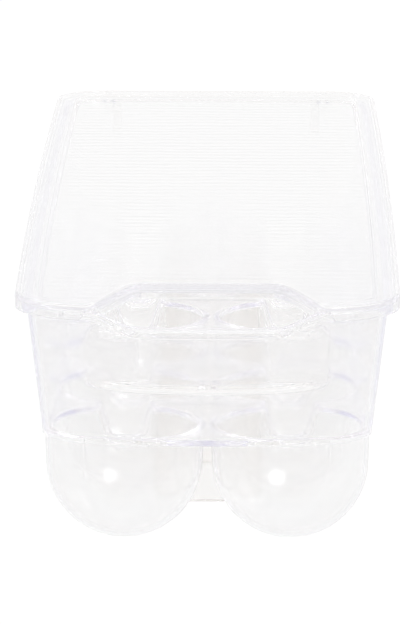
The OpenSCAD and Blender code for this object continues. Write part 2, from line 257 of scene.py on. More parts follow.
def add_shell(name, halves, finishes=None, mirrored=True):
    """One closed mesh object from grids of points in millimetres.

    Each grid's cells become quads, each grid may be repeated as its mirror image in X, and points that
    meet are welded, which also closes the poles. The faces are then turned outwards. Finishes gives
    each grid's share of the second finish. It is kept as a face attribute, because a closed volume
    needs one material all round."""
    points, quads, shares, start = [], [], [], 0
    for half, finish in zip(halves, finishes or [0.0] * len(halves)):
        rows, columns = half.shape[:2]
        index = np.arange(rows * columns).reshape(rows, columns)
        faces = np.stack([index[:-1, :-1], index[:-1, 1:], index[1:, 1:], index[1:, :-1]], -1).reshape(-1, 4)
        flat = half.reshape(-1, 3)
        for side in (1, -1) if mirrored else (1,):
            points.append(flat * (side, 1, 1))
            quads.append(faces[:, ::side] + start)
            shares.append(np.full(len(faces), finish))
            start += len(flat)
    mesh = bpy.data.meshes.new(name)
    mesh.from_pydata((np.concatenate(points) * MM).tolist(), [], np.concatenate(quads).tolist())
    second = mesh.attributes.new(SECOND_FINISH, "FLOAT", "FACE")
    second.data.foreach_set("value", np.concatenate(shares))
    shell = bmesh.new()
    shell.from_mesh(mesh)
    bmesh.ops.remove_doubles(shell, verts=shell.verts, dist=WELD)
    bmesh.ops.recalc_face_normals(shell, faces=shell.faces)
    if shell.calc_volume(signed=True) < 0:
        bmesh.ops.reverse_faces(shell, faces=shell.faces)
    for face in shell.faces:
        face.smooth = True
    shell.to_mesh(mesh)
    shell.free()
    piece = bpy.data.objects.new(name, mesh)
    bpy.context.scene.collection.objects.link(piece)
    even = piece.modifiers.new("even_normals", "WEIGHTED_NORMAL")
    even.weight = 50
    return piece


# The tray


def tray_shapes(tray):
    """Functions that give the tray's outline at the floor and at the rim for an inset."""
    last_row = ROW_2 + (ROWS - 2) * PITCH
    low_rear = box_mm(f"egg_cup_right_{ROWS}")[1][1]
    top_hw = FLOOR_HW + tray.side_lean
    front = FLOOR_FRONT

    def low(inset):
        return outline(FLOOR_HW - inset, front + inset, low_rear - inset, tray.corner_r - inset)

    def top(inset):
        return outline(
            top_hw - inset, front - tray.front_lean + inset, low_rear + tray.rear_lean - inset,
            tray.corner_r - inset, tray.side_bulge,
        )

    return low, top, last_row


FRONT_STEPS = np.concatenate([
    np.linspace(0, 0.42, 7), np.linspace(0.47, 0.72, 8), np.linspace(0.74, 0.965, 20), [0.985],
])
CORNER_STEPS = 5
END_STEPS = 10
SIDE_STEPS = 14


def tray_path(shape, rear_shares, bow_r):
    """Half of the tray's perimeter, from the middle of the front to the middle of the rear, and the
    indices at which it passes from one cup's cell to the next. The front's bow moves the side's
    points too, so the places between the cells are worked out back through it."""
    middle, half = (shape.front + shape.rear) / 2, (shape.rear - shape.front) / 2
    offset = ROW_2 + PITCH * (np.arange(ROWS - 1) - 0.5) - middle
    bow = shape.hw**2 / (2 * bow_r) / half
    breaks = np.where(offset < 0, offset / (1 - bow), offset) / (half - shape.r)
    parts = [straight(FRONT_STEPS, -1, 0, -1), corner(CORNER_STEPS, 0, 45, True)]
    ends = [len(FRONT_STEPS) + CORNER_STEPS]
    parts.append(corner(CORNER_STEPS, 45, 90, True)[1:])
    parts.append(straight(1, np.linspace(-1, breaks[0], END_STEPS + 1)[1:], 1, 0))
    ends.append(ends[-1] + CORNER_STEPS + END_STEPS)
    for start, end in zip(breaks[:-1], breaks[1:]):
        parts.append(straight(1, np.linspace(start, end, SIDE_STEPS + 1)[1:], 1, 0))
        ends.append(ends[-1] + SIDE_STEPS)
    parts.append(straight(1, np.linspace(breaks[-1], 1, END_STEPS + 1)[1:], 1, 0))
    parts.append(corner(CORNER_STEPS, 0, 45, False)[1:])
    ends.append(ends[-1] + CORNER_STEPS + END_STEPS)
    parts.append(corner(CORNER_STEPS, 45, 90, False)[1:])
    parts.append(straight(rear_shares, 1, 0, 1))
    return np.concatenate(parts), ends


def channel_half(tray, grow, top_z, fillet):
    """Half section of a finger channel, from its lowest point outwards, as X offsets and heights: a
    quarter circle, a leaning side and a rounded turn into the flat, as a quadratic curve."""
    radius = tray.channel_r + grow
    centre_z = FLOOR_Z - tray.channel_deep + tray.channel_r
    a = quarter(7)
    arc = np.column_stack([radius * np.sin(a), centre_z - radius * np.cos(a)])
    run = tray.channel_w / 2 - tray.channel_r
    rise = FLOOR_Z - centre_z
    edge = np.array([radius + run * (top_z - centre_z) / rise, top_z])
    side = np.array([run, rise]) / math.hypot(run, rise)
    t = np.linspace(0, 1, 5)[:, None]
    before, after = edge - side * fillet, edge + np.array([fillet, 0])
    turn = before * (1 - t) ** 2 + 2 * edge * t * (1 - t) + after * t**2
    reach = tray.channel_w / 2 + 3
    flat = [[mix(after[0], reach, 0.5), top_z], [reach, top_z]]
    return np.concatenate([arc, turn, flat])


def cup_radius(z, ball_z, ball_r, top_r, top_z):
    """Radius of a cup at a height: a ball below its centre's height, a slight cone above."""
    below = np.sqrt(np.maximum(ball_r**2 - (ball_z - z) ** 2, 0))
    above = ball_r + (top_r - ball_r) * (z - ball_z) / (top_z - ball_z)
    return np.where(z < ball_z, below, above)


def cup_cell(tray, row, side_points, end_points, channel, grow, top_z, fillet, channel_fillet):
    """One side of the tray's bottom around the cup of a row, as a grid around the cup's axis.

    Its rows run from the cup's pole up the ball and the cone, turn over the mouth along a quarter
    circle and cross the floor or the channel to the cell's boundary. Its columns are rays from the
    cup's axis, except over the channels, where they run along Y so that they follow the section."""
    centre = np.array([CUP_COLUMN, ROW_2 + (row - 2) * PITCH])
    ball_z = tray.cup_ball_r - tray.foot_flat
    ball_r = tray.cup_ball_r - grow
    top_r = ball_r + tray.cup_draft
    half = PITCH / 2
    edge_x = side_points[0 if row > 1 else -1, 0] - centre[0]

    def across(sign):
        """Boundary to the next row, from the outer side to the middle: offsets, heights, angles."""
        section = channel_half(tray, channel, top_z, channel_fillet)
        x = np.concatenate([section[::-1, 0], -section[1:, 0]])
        z = np.concatenate([section[::-1, 1], section[1:, 1]])
        mouth = cup_radius(z - fillet, ball_z, ball_r, top_r, top_z) + fillet
        angle = np.arccos(x / mouth)
        outer = np.linspace(edge_x, x[0], 5)[:-1]
        inner = np.linspace(x[-1], -centre[0], 6)[1:]
        outer_angle = np.linspace(math.atan2(half, edge_x), angle[0], 5)[:-1]
        inner_angle = np.linspace(angle[-1], math.atan2(half, -centre[0]), 6)[1:]
        x = np.concatenate([outer, x, inner])
        z = np.concatenate([np.full(4, top_z), z, np.full(5, top_z)])
        angle = np.concatenate([outer_angle, angle, inner_angle])
        return np.column_stack([x, np.full(len(x), sign * half), z, sign * angle])

    def walled(points):
        """Boundary on a wall's foot: rays straight from the cup's axis."""
        offset = points - centre
        angle = np.arctan2(offset[:, 1], offset[:, 0])
        return np.column_stack([offset, np.full(len(offset), top_z), angle])

    front = walled(end_points) if row == 1 else across(-1)[::-1]
    rear = walled(end_points) if row == ROWS else across(1)
    side = walled(side_points)
    y = np.linspace(rear[-1, 1], front[0, 1], 9)
    middle = np.column_stack([np.full(9, -centre[0]), y, np.full(9, top_z), np.zeros(9)])
    middle[:, 3] = np.arctan2(y, -centre[0]) % (2 * math.pi)
    front[:, 3] = front[:, 3] % (2 * math.pi)
    loop = np.concatenate([side[:-1], rear[:-1], middle[:-1], front])
    x, y, z, angle = loop.T
    land = np.hypot(x, y)
    free = np.abs(x) > tray.channel_w / 2 + 3.1
    room = np.where(free | (np.abs(y) < half - 1), land - 0.1 - top_r, fillet)
    turn_r = np.clip(room, 0.25, fillet)
    shift = np.minimum(0, room - turn_r)
    direction = np.column_stack([np.cos(angle), np.sin(angle)])
    turn_z = z - turn_r
    rows = []
    foot_angle = math.acos(ball_z / tray.cup_ball_r)
    for a in np.concatenate([[0, foot_angle], np.radians(np.linspace(18, 76, 9))]):
        height = max(ball_z - ball_r * math.cos(a), 0)
        rows.append((direction * ball_r * math.sin(a), height))
    low_z = ball_z - ball_r * math.cos(math.radians(76))
    for t in np.linspace(0, 1, 6)[1:]:
        height = mix(low_z, turn_z, t)
        bend = shift * smooth((height - low_z) / (turn_z - low_z))
        radius = cup_radius(height, ball_z, ball_r, top_r, top_z) + bend
        rows.append((direction * radius[:, None], height))
    wall_r = cup_radius(turn_z, ball_z, ball_r, top_r, top_z) + shift
    for a in quarter(4)[1:]:
        radius = wall_r + turn_r * (1 - math.cos(a))
        rows.append((direction * radius[:, None], turn_z + turn_r * math.sin(a)))
    mouth = rows[-1][0]
    edge = np.column_stack([x, y])
    rows += [(mix(mouth, edge, 0.5), z), (edge, z)]
    cell = grid([(plan + centre, height) for plan, height in rows])
    return np.concatenate([cell, cell[:, :1]], axis=1)


def rim_height(rim, x):
    """Height of the rim along X: level, with a smooth dip at the middle."""
    return RIM_Z - rim.dip * smooth((rim.dip_start - np.abs(x)) / (rim.dip_start - rim.dip_full))


def grip_depth(rim, x, z, grow):
    """Depth of the grip recess at a place on the front wall: the full depth times a quick smooth step
    over its lower edge, which rises to its ends, and a slow one at its ends."""
    x = np.abs(x)
    top = RIM_Z - rim.dip - rim.flange_t
    z = z - rim.grip_smile * (x / rim.grip_w) ** 2
    low = top - rim.grip_h
    open_top = 4 * (1 - smooth((x - 16) / 8))
    inside = np.minimum(z - low, top - z + open_top)
    ends = smooth((rim.grip_w - x + grow) / rim.grip_fade)
    return rim.grip_deep * smooth((inside + grow) / (rim.grip_edge + grow)) * ends


def tray_strip(tray, rim, low, top, inner_path, outer_path):
    """The tray's wall as one strip, from the floor up the inside, over the rim flange and down the
    outside to the underside. Each row is an outline at an inset between floor and rim height."""
    wall_h = RIM_Z - FLOOR_Z
    under_z = FLOOR_Z - tray.floor_t + HAIR

    def wall(path, inset, z):
        """Plan points of the leaning wall at an inset and a height."""
        t = np.clip((z - FLOOR_Z) / wall_h, 0, 1)
        foot, head = place(path, low(inset), tray.bow_r), place(path, top(inset), tray.bow_r)
        return mix(foot, head, np.broadcast_to(t, len(path))[:, None])

    def pushed(plan, z, grow):
        """The plan points with the grip recess pressed into the front."""
        at_front = (plan[:, 1] < FLOOR_FRONT + tray.corner_r) & (np.abs(plan[:, 0]) < rim.grip_w + 4)
        depth = np.where(at_front, grip_depth(rim, plan[:, 0], z, grow), 0)
        return plan + np.column_stack([np.zeros(len(plan)), depth])

    middle_path = mix(inner_path, outer_path, 0.5)
    rim_x = place(middle_path, top(0), tray.bow_r)
    in_front = rim_x[:, 1] < FLOOR_FRONT + tray.corner_r
    rim_z = np.where(in_front, rim_height(rim, rim_x[:, 0]), RIM_Z)
    under_flange = rim_z - rim.flange_t + HAIR

    grip_top = RIM_Z - rim.dip - rim.flange_t
    grip_low = grip_top - rim.grip_h
    lift = np.where(in_front, rim.grip_smile * (rim_x[:, 0] / rim.grip_w) ** 2, 0)
    lift = np.minimum(lift, rim.grip_smile)
    above_floor = [FLOOR_Z + 2, mix(FLOOR_Z, grip_low, 0.45), grip_low - 4]
    near_edge = grip_low + np.array([-2.2, -1.9, -1.6, -1.3, -1.0, -0.6, -0.2, 0.0, 0.2, 0.4, 0.6, 0.8, 1.1,
                                     1.6, 2.4, 3.4, 4.6, 6.0, 8.0, 10.5, 13.0])
    near_edge = near_edge[near_edge < grip_top - 1.6]
    levels = [z + 0 * rim_z for z in above_floor]
    levels += [z + lift * smooth((z - grip_low + 6) / 4) for z in near_edge]
    last = levels[-1]

    rows = []
    for a in quarter(3):
        inset = tray.wall_t + tray.foot_r * (1 - math.sin(a))
        z = FLOOR_Z + tray.foot_r * (1 - math.cos(a))
        rows.append((wall(inner_path, inset, z), z + 0 * rim_z))
    round_in = rim.round_r * 0.8
    inner_levels = levels + [mix(last, rim_z - round_in, t) for t in (0.25, 0.5, 0.75, 1.0)]
    for z in inner_levels:
        rows.append((pushed(wall(inner_path, tray.wall_t, z), z, tray.wall_t), z))
    for a in quarter(3)[1:]:
        z = rim_z - round_in * (1 - math.sin(a))
        inset = tray.wall_t - round_in * (1 - math.cos(a))
        push_z = rim_z - round_in
        rows.append((pushed(wall(inner_path, inset, z), push_z, tray.wall_t), z))

    flange = outline(
        FLOOR_HW + tray.side_lean + rim.flange_out,
        top(0).front - rim.flange_out, top(0).rear + rim.rear_flange_out,
        tray.corner_r + rim.flange_out, tray.side_bulge,
    )
    tip = place(middle_path, flange, tray.bow_r)
    face = wall(middle_path, HAIR, rim_z)
    reach = np.linalg.norm(tip - face, axis=1)
    out = (tip - face) / reach[:, None]
    in_slot = (rim_x[:, 1] > top(0).rear - tray.corner_r) & (rim_x[:, 0] > SLOT[0]) & (rim_x[:, 0] < SLOT[1])
    reach = np.where(in_slot, 2 * HAIR, reach)
    round_r = np.minimum(rim.round_r, 0.4 * reach)
    for a in quarter(3):
        plan = face + out * (reach - round_r * (1 - math.sin(a)))[:, None]
        rows.append((plan, rim_z - round_r * (1 - math.cos(a))))
    for a in quarter(3):
        plan = face + out * (reach - round_r * (1 - math.cos(a)))[:, None]
        rows.append((plan, under_flange + round_r * (1 - math.sin(a))))
    for a in quarter(3):
        z = under_flange - round_r * (1 - math.cos(a))
        plan = wall(outer_path, HAIR, z) + out * (round_r * (1 - math.sin(a)))[:, None]
        rows.append((pushed(plan, z, 0), z))
    start = under_flange - round_r
    outer_levels = [mix(start, last, t) for t in (0.25, 0.5, 0.75)] + levels[::-1]
    for z in outer_levels:
        rows.append((pushed(wall(outer_path, HAIR, z), z, 0), z))
    rows.append((wall(outer_path, HAIR, FLOOR_Z), FLOOR_Z + 0 * rim_z))
    for a in quarter(3):
        inset = tray.edge_r * (1 - math.cos(a))
        z = under_z + tray.edge_r * (1 - math.sin(a))
        rows.append((wall(outer_path, inset + HAIR, z), z + 0 * rim_z))
    return grid(rows)


ARM_LOW, ARM_HIGH = box_mm("right_lid_arm")
SLOT_GAP = 0.3
SLOT = (ARM_LOW[0] - SLOT_GAP, ARM_HIGH[0] + SLOT_GAP)


def tray_halves(tray, rim):
    """All grids of the tray's right half."""
    low, top, _ = tray_shapes(tray)
    core = top(0).hw - top(0).r
    slot_shares = [(SLOT[1] + d) / core for d in (HAIR, -HAIR)] + [(SLOT[0] + d) / core for d in (HAIR, -HAIR)]
    rear_shares = np.concatenate([slot_shares, np.linspace(0.87, 0, 12)])
    inner_foot = low(tray.wall_t + tray.foot_r)
    outer_foot = low(tray.edge_r + HAIR)
    inner_path, ends = tray_path(inner_foot, rear_shares, tray.bow_r)
    outer_path, _ = tray_path(outer_foot, rear_shares, tray.bow_r)
    halves = [tray_strip(tray, rim, low, top, inner_path, outer_path)]
    under_z = FLOOR_Z - tray.floor_t + HAIR
    sides = (
        (place(inner_path, inner_foot, tray.bow_r), 0, tray.cup_wall, FLOOR_Z, tray.mouth_r, 0.9),
        (place(outer_path, outer_foot, tray.bow_r), tray.cup_wall, 0, under_z, tray.under_r, 0.6),
    )
    for foot, channel, grow, top_z, fillet, channel_fillet in sides:
        for row in range(1, ROWS + 1):
            side_points = foot[ends[row - 1] : ends[row] + 1]
            end_points = foot[: ends[0] + 1] if row == 1 else foot[ends[-1] :]
            halves.append(
                cup_cell(tray, row, side_points, end_points, channel, grow, top_z, fillet, channel_fillet)
            )
    return halves


# The lid

# Rounding of the corner between the notch's border and the front border
JOIN_R = 0.6


def lid_halves(lid, tray):
    """All grids of the lid's right half: the border and skirt as one strip, and both faces of the
    panel, whose columns run from the front edge to the rear edge."""
    top_hw = FLOOR_HW + tray.side_lean
    front = FLOOR_FRONT - tray.front_lean - lid.overhang
    under = LID_TOP - lid.lid_t + HAIR
    skirt_z = LID_TOP - lid.skirt_h
    panel_top = LID_TOP - lid.panel_drop
    panel_under = panel_top - lid.lid_t
    hw, r = top_hw + lid.overhang, tray.corner_r + lid.overhang
    panel_rear = box_mm("lid_panel")[1][1]
    core = hw - r

    notch_x = np.concatenate([np.linspace(0, lid.notch_in - 1, 8), np.linspace(lid.notch_in, lid.notch_out, 25)])
    plain_x = np.linspace(lid.notch_out, core, 5)[1:]
    across = np.concatenate([notch_x, plain_x]) / core
    corner_n = 8
    side_n = 110
    path = np.concatenate([
        straight(across, -1, 0, -1), corner(corner_n, 0, 90, True)[1:],
        straight(1, np.linspace(-1, 1, side_n + 1)[1:-1], 1, 0),
        corner(corner_n, 0, 90, False)[:-1], straight(across[::-1], 1, 0, 1),
    ])
    front_n = len(across) + corner_n
    in_notch = np.arange(len(path)) < len(notch_x)
    base = front + lid.notch_out**2 / (2 * tray.bow_r)
    reach = front + lid.notch_deep - base
    run = lid.notch_out - lid.notch_in
    x = path[:, 0] * core
    t = np.clip((lid.notch_out - x) / run, 0, 1)
    notch_y = base + reach * smooth(t)
    slope = -reach * 6 * t * (1 - t) / run
    normal = np.column_stack([-slope, np.ones_like(slope)]) / np.hypot(slope, 1)[:, None]
    notch_line = np.column_stack([x, notch_y])

    def edge(inset):
        """The lid's edge moved in by an inset, around the notch too."""
        plan = place(path, outline(hw - inset, front + inset, LID_REAR - inset, r - inset, tray.side_bulge),
                     tray.bow_r)
        return np.where(in_notch[:, None], notch_line + normal * inset, plan)

    edge_x = np.linspace(0, lid.notch_out, 400)
    edge_y = base + reach * smooth((lid.notch_out - edge_x) / run)

    def panel(grow):
        """The panel's edge moved out by a growth. Around the notch it is the upper envelope of circles
        along the notch's edge, joined to the plain front by a smooth maximum."""
        shape = outline(
            hw - lid.border_w + grow, front + lid.border_w - grow, panel_rear + grow,
            r - lid.border_w + grow, tray.side_bulge,
        )
        plan = place(path, shape, tray.bow_r)
        inset = lid.notch_border - grow
        at = x + np.where(in_notch, 0.5 * inset * normal[:, 0], 0)
        plain = shape.front + at**2 / (2 * tray.bow_r)
        away = at[:, None] - edge_x
        circles = np.where(np.abs(away) < inset, edge_y + np.sqrt(np.maximum(inset**2 - away**2, 0)), front)
        near = circles.max(axis=1)
        joined = np.maximum(plain, near) + JOIN_R * np.log1p(np.exp(-np.abs(plain - near) / JOIN_R))
        on_front = np.arange(len(path)) < len(across)
        return np.where(on_front[:, None], np.column_stack([at, joined]), plan)

    # No skirt where the notch's flank crosses the tray's rim
    gap = smooth((x - 30.2) / 0.8) * smooth((35.4 - x) / 0.8)
    bare = np.where(in_notch | (np.arange(len(path)) < len(across)), gap, 0)
    drop = (under - skirt_z) * (1 - bare)
    bottom = under - drop
    skirt_r = np.minimum(lid.skirt_r, 0.45 * drop)
    rows = [(panel(0), panel_top)]
    for s in np.linspace(0, 1, 7)[1:]:
        rows.append((panel(lid.step_run * s), mix(panel_top, LID_TOP, smooth(s))))
    for a in quarter(4):
        rows.append((edge(lid.edge_r * (1 - math.sin(a))), LID_TOP - lid.edge_r * (1 - math.cos(a))))
    rows.append((edge(0), under))
    for a in quarter(3):
        rows.append((edge_each(edge, skirt_r * (1 - math.cos(a))), bottom + skirt_r * (1 - math.sin(a))))
    for a in quarter(3):
        inset = lid.skirt_t - HAIR - skirt_r * (1 - math.sin(a))
        rows.append((edge_each(edge, inset), bottom + skirt_r * (1 - math.cos(a))))
    rows.append((edge(lid.skirt_t - HAIR), under - 0.05 * (1 - bare)))
    rows.append((edge(lid.skirt_t + 0.05), under))
    rows.append((panel(lid.step_t + 0.05), under))
    rows.append((panel(lid.step_t), under - 0.05))
    rows.append((panel(lid.step_t), panel_under + 0.3))
    rows.append((panel(lid.step_t - 0.3), panel_under))
    rows.append((panel(0), panel_under))
    strip = grid(rows)

    def face(rim_line, z):
        """The panel's surface inside its edge: straight columns from front to rear."""
        head, tail = rim_line[:front_n], rim_line[-front_n:][::-1]
        side = rim_line[front_n - 1 : len(rim_line) - front_n + 1]
        share = (side[:, 1] - side[0, 1]) / (side[-1, 1] - side[0, 1])
        columns = mix(head[None], tail[None], share[:, None, None])
        swell = side[:, 0] / mix(side[0, 0], side[-1, 0], share)
        columns[:, :, 0] *= swell[:, None]
        return np.concatenate([columns, np.full(columns.shape[:2] + (1,), z)], axis=2)

    return [strip, face(panel(0), panel_top), face(panel(0), panel_under)]


def edge_each(edge, inset):
    """The edge line moved in by its own inset at each point, on the line between two insets."""
    near, far = edge(0.0), edge(1.0)
    return mix(near, far, inset[:, None])


# Materials


def add_node(tree, kind, settings=None, links=None):
    """Adds a node, sets its properties and input values, and links its inputs."""
    node = tree.nodes.new(kind)
    for key, value in (settings or {}).items():
        if isinstance(key, int) or key in node.inputs:
            node.inputs[key].default_value = value
        else:
            setattr(node, key, value)
    for key, source in (links or {}).items():
        tree.links.new(source, node.inputs[key])
    return node


def new_material(name):
    """An empty node material and its tree and output."""
    material = bpy.data.materials.new(name)
    material.use_nodes = True
    tree = material.node_tree
    tree.nodes.clear()
    return material, tree, tree.nodes.new("ShaderNodeOutputMaterial")


# Ribs about 1.75 mm apart, which run from side to side and waver a little
RIBS = ("ShaderNodeTexWave", {
    "wave_type": "BANDS", "bands_direction": "Y", "Scale": 57.0, "Distortion": 3.0, "Detail": 2.0,
    "Detail Scale": 0.5,
})
RIB_STRENGTH = 0.011
# Grain about a third of a millimetre across, left by a tool that is not polished
GRAIN = ("ShaderNodeTexNoise", {"Scale": 3000.0, "Detail": 1.0, "Roughness": 0.5})
GRAIN_STRENGTH = 0.12
TRAY_ROUGH = 0.09
LID_ROUGH = 0.06


def crystal_polystyrene(name, look, tint, depth_tint, depth, roughness, relief_node, relief_strength):
    """Clear crystal polystyrene, injection moulded: bright and hard, bends light strongly, with faint
    flow waves in its surface and a lavender cast where light runs along it. The faces of the second
    finish carry a relief pattern too."""
    material, tree, output = new_material(name)
    place_node = add_node(tree, "ShaderNodeTexCoord")
    waves = add_node(
        tree, "ShaderNodeTexNoise", {"Scale": 90.0, "Detail": 1.0, "Roughness": 0.4},
        {"Vector": place_node.outputs["Object"]},
    )
    bump = add_node(
        tree, "ShaderNodeBump", {"Strength": 0.06, "Distance": 0.0002}, {"Height": waves.outputs["Fac"]}
    )
    where = add_node(tree, "ShaderNodeAttribute", {"attribute_name": SECOND_FINISH})
    strength = add_node(
        tree, "ShaderNodeMath", {"operation": "MULTIPLY", 1: relief_strength}, {0: where.outputs["Fac"]}
    )
    relief = add_node(tree, *relief_node, {"Vector": place_node.outputs["Object"]})
    bump = add_node(
        tree, "ShaderNodeBump", {"Distance": 0.0002},
        {"Height": relief.outputs["Fac"], "Normal": bump.outputs["Normal"], "Strength": strength.outputs[0]},
    )
    shader = add_node(
        tree, "ShaderNodeBsdfPrincipled",
        {
            "Base Color": (*tint, 1), "Roughness": roughness, "IOR": look.ior, "Transmission Weight": 1.0,
        },
        {"Normal": bump.outputs["Normal"]},
    )
    tree.links.new(shader.outputs["BSDF"], output.inputs["Surface"])
    if depth:
        absorb = add_node(
            tree, "ShaderNodeVolumeAbsorption", {"Color": (*depth_tint, 1), "Density": depth}
        )
        tree.links.new(absorb.outputs["Volume"], output.inputs["Volume"])
    return material


def finish_piece(piece, material, body, slot, *nodes):
    """Gives a new piece its material and its place in the frame."""
    piece.data.materials.append(material)
    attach(piece, body)
    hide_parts(*nodes)


def tray_plastic(look):
    """The tray's material, made once."""
    name = "clear_polystyrene_tray"
    return bpy.data.materials.get(name) or crystal_polystyrene(
        name, look, look.tray_tint, look.tray_depth_tint, look.tray_depth, TRAY_ROUGH, GRAIN, GRAIN_STRENGTH
    )


def web_plastic(look):
    """The webs' material: thin, with a warm grey cast from its surfaces alone, made once."""
    name = "clear_polystyrene_web"
    return bpy.data.materials.get(name) or crystal_polystyrene(
        name, look, look.web_tint, look.tray_depth_tint, 0, TRAY_ROUGH, GRAIN, GRAIN_STRENGTH
    )


def hinge_plastic(look):
    """The material of the ears, arms and pins, which are too small to show a cast in their depth. Their
    faces touch, and an absorbing volume needs clear air around it. Made once."""
    name = "clear_polystyrene_hinge"
    return bpy.data.materials.get(name) or crystal_polystyrene(
        name, look, look.lid_tint, look.lid_depth_tint, 0, LID_ROUGH, GRAIN, 0
    )


def lid_plastic(look):
    """The material of the lid's panel, borders and skirt, made once."""
    name = "clear_polystyrene_lid"
    return bpy.data.materials.get(name) or crystal_polystyrene(
        name, look, look.lid_tint, look.lid_depth_tint, look.lid_depth, LID_ROUGH, RIBS, RIB_STRENGTH
    )


def refinish(node, material):
    """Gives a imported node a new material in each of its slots."""
    for index in range(len(node.material_slots)):
        node.material_slots[index].material = material


class KEEPER_OT_tray_shell(bpy.types.Operator):
    """Tray moulding: floor, cups, finger channels, walls, rim and grip recess in one shell"""

    bl_idname = "keeper.tray_shell"
    bl_label = "Tray shell"

    def execute(self, context):
        scene = context.scene
        halves = tray_halves(in_mm(scene.keeper_tray), in_mm(scene.keeper_rim))
        piece = add_shell("tray_shell", halves, [0.0] * (ROWS + 1) + [1.0] * ROWS)
        names = [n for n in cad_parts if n.endswith("_wall") or n.startswith("egg_cup")]
        finish_piece(piece, tray_plastic(scene.keeper_look), "tray", "clear_tray", *names)
        return {"FINISHED"}


class KEEPER_OT_lid_shell(bpy.types.Operator):
    """Lid moulding: sunk panel, raised border, skirt and finger notch in one shell"""

    bl_idname = "keeper.lid_shell"
    bl_label = "Lid shell"

    def execute(self, context):
        scene = context.scene
        halves = lid_halves(in_mm(scene.keeper_lid), in_mm(scene.keeper_tray))
        piece = add_shell("lid_shell", halves, (0.0, 1.0, 1.0))
        names = ["lid_panel"] + [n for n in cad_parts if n.endswith("_border")]
        finish_piece(piece, lid_plastic(scene.keeper_look), "lid", "clear_lid", *names)
        return {"FINISHED"}


def web_rings(low, high, corner_r, edge_r):
    """Rings of a thin upright plate whose lower corners and edges are round: the plate's outline in X
    and Z, drawn in along a quarter circle on either face, with a flat middle."""
    a = quarter(6)

    def ring(inset, y):
        r = corner_r - inset
        left, right, foot, head = low[0] + inset, high[0] - inset, low[2] + inset, high[2]
        x = np.concatenate([left + r * (1 - np.sin(a[::-1])), right - r * (1 - np.sin(a)), [right, left]])
        z = np.concatenate([foot + r * (1 - np.cos(a[::-1])), foot + r * (1 - np.cos(a)), [head, head]])
        points = np.column_stack([x, np.full(len(x), y), z])
        return np.concatenate([points, points[:1]])

    near = [ring(edge_r * (1 - math.sin(b)), low[1] + edge_r * (1 - math.cos(b))) for b in quarter(3)]
    far = [ring(edge_r * (1 - math.sin(b)), high[1] - edge_r * (1 - math.cos(b))) for b in quarter(3)[::-1]]
    rings = near[::-1] + far[::-1]
    middle = [np.broadcast_to(r.mean(axis=0), r.shape) for r in (rings[0], rings[-1])]
    return np.array([middle[0], *rings, middle[1]])


class KEEPER_OT_row_webs(bpy.types.Operator):
    """Stiffening webs under the floor, one between each two rows"""

    bl_idname = "keeper.row_webs"
    bl_label = "Row webs"

    def execute(self, context):
        material = web_plastic(context.scene.keeper_look)
        tray = in_mm(context.scene.keeper_tray)
        for name in [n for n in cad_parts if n.startswith("row_web_")]:
            low, high = box_mm(name)
            high[2] -= HAIR
            low[0] += HAIR
            high[0] -= HAIR
            rings = web_rings(low, high, tray.web_corner_r, tray.web_edge_r)
            piece = add_shell(name.replace("row", "under"), [rings], mirrored=False)
            finish_piece(piece, material, "tray", "clear_tray", name)
        return {"FINISHED"}


class KEEPER_OT_hinge_ears(bpy.types.Operator):
    """Finish of the two ears on the rear wall"""

    bl_idname = "keeper.hinge_ears"
    bl_label = "Hinge ears"

    def execute(self, context):
        for name in [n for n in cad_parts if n.endswith("_ear")]:
            refinish(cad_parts[name], hinge_plastic(context.scene.keeper_look))
        return {"FINISHED"}


class KEEPER_OT_lid_arms(bpy.types.Operator):
    """Finish of the lid's two arms"""

    bl_idname = "keeper.lid_arms"
    bl_label = "Lid arms"

    def execute(self, context):
        for name in [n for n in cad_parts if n.endswith("_arm")]:
            refinish(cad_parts[name], hinge_plastic(context.scene.keeper_look))
        return {"FINISHED"}


def pin_rings(low, high, edge_r, sides=48):
    """Rings of a round pin along X. Each end is rounded along a quarter circle and closed by a point:
    the radius is the pin's less edge_r times one minus the sine, at edge_r times one minus the cosine
    from the end."""
    turn = np.linspace(0, 2 * math.pi, sides + 1)
    centre, radius = (low + high) / 2, (high[1] - low[1]) / 2
    a = quarter(4)
    inset = np.concatenate([[radius], edge_r * (1 - np.sin(a))])
    along = np.concatenate([[0], edge_r * (1 - np.cos(a))])
    r = radius - np.concatenate([inset, inset[::-1]])
    x = np.concatenate([low[0] + along, high[0] - along[::-1]])
    ring = np.column_stack([0 * turn, np.cos(turn), np.sin(turn)])
    return np.column_stack([x, 0 * x + centre[1], 0 * x + centre[2]])[:, None] + r[:, None, None] * ring


class KEEPER_OT_hinge_pins(bpy.types.Operator):
    """The two pins moulded on the arms"""

    bl_idname = "keeper.hinge_pins"
    bl_label = "Hinge pins"

    def execute(self, context):
        material = hinge_plastic(context.scene.keeper_look)
        for name in [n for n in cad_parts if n.endswith("_pin")]:
            low, high = box_mm(name)
            low[0] += HAIR
            high[0] -= HAIR
            rings = pin_rings(low, high, context.scene.keeper_lid.pin_edge_r / MM)
            piece = add_shell(name.replace("hinge", "round"), [rings], mirrored=False)
            finish_piece(piece, material, "lid", "clear_lid", name)
        return {"FINISHED"}


CAMERA_PLACE = (11.98, -1601.1, 378.9)
CAMERA_PITCH = 12.163
CAMERA_YAW = 0.47
CAMERA_ROLL = 0.166
CAMERA_LENS = 297.0
CLEAR_WALLS = 300
WHITE_SHARE = 0.93
WHITE_LEVEL = 1.03
LAMP_PLACE = (567, -1150, 987)
LAMP_AIM = (0, -150, 22)
LAMP_WIDE = 0.44
LAMP_LEVEL = 16.0
WORLD_LEVEL = 1.08
BACK_LEVEL = -0.08
SEEN_THROUGH = 0.93


